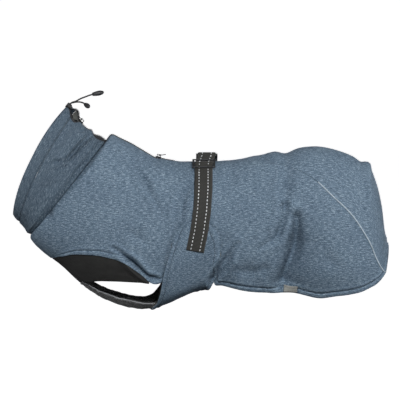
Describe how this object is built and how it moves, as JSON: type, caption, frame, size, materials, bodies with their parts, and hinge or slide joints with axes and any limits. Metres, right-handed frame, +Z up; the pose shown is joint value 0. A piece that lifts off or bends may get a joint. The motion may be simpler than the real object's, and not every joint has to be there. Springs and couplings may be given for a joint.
{
  "type": "dog winter coat",
  "caption": "Dog winter coat filled out as if worn: collar with drawstring, back zip, belly band with buckled webbing, open leg holes.",
  "frame": {"origin": "on the centre line of the back, under the belly strap, where the coat rests on its wearer", "axes": "+X towards the tail, -Y the wearer's left side, +Z up"},
  "size_m": [0.5266, 0.158, 0.3078],
  "materials": {
    "softshell": "heathered blue softshell, matt",
    "stretch_cloth": "smooth black stretch cloth",
    "black_fleece": "short black fleece",
    "webbing": "woven black webbing and tape",
    "cord": "black elastic cord",
    "enamel": "black enamelled zip metal",
    "plastic": "black moulded plastic",
    "piping": "light grey reflective piping",
    "label": "blank grey woven tab"
  },
  "bodies": {
    "coat": {"side_left": "softshell", "side_right": "softshell", "rump_panel": "softshell", "collar": "softshell", "collar_casing": "softshell", "belly_band": "softshell", "chest_panel": "stretch_cloth", "chest_strip": "black_fleece", "zip_tape_left": "webbing", "zip_tape_right": "webbing", "webbing_left": "webbing", "webbing_right": "webbing", "webbing_return": "webbing", "drawstring_upper": "cord", "drawstring_lower": "cord", "zip_slider_front": "enamel", "zip_slider_rear": "enamel", "strap_slider": "plastic", "buckle_socket": "plastic", "buckle_plug": "plastic", "cord_lock": "plastic", "cord_cap_upper": "plastic", "cord_cap_lower": "plastic", "piping_left": "piping", "piping_right": "piping", "label_tab": "label"},
    "front_pull": {"zip_pull_front": "enamel"},
    "rear_pull": {"zip_pull_rear": "enamel"},
    "lock_button": {"cord_lock_button": "plastic"}
  },
  "joints": [
    {"name": "front_pull_hinge", "type": "hinge", "parent": "coat", "child": "front_pull", "pos_m": [-0.16452, 0, 0.05839], "axis": [0, -1, 0], "range_deg": [-150, 0]},
    {"name": "rear_pull_hinge", "type": "hinge", "parent": "coat", "child": "rear_pull", "pos_m": [-0.05756, 0, 0.00914], "axis": [0, -1, 0], "range_deg": [-12, 140]},
    {"name": "lock_button_slide", "type": "slide", "parent": "coat", "child": "lock_button", "axis": [-0.769, 0, 0.6392], "range_m": [0, 0.002], "stiffness_N_per_m": 300}
  ]
}
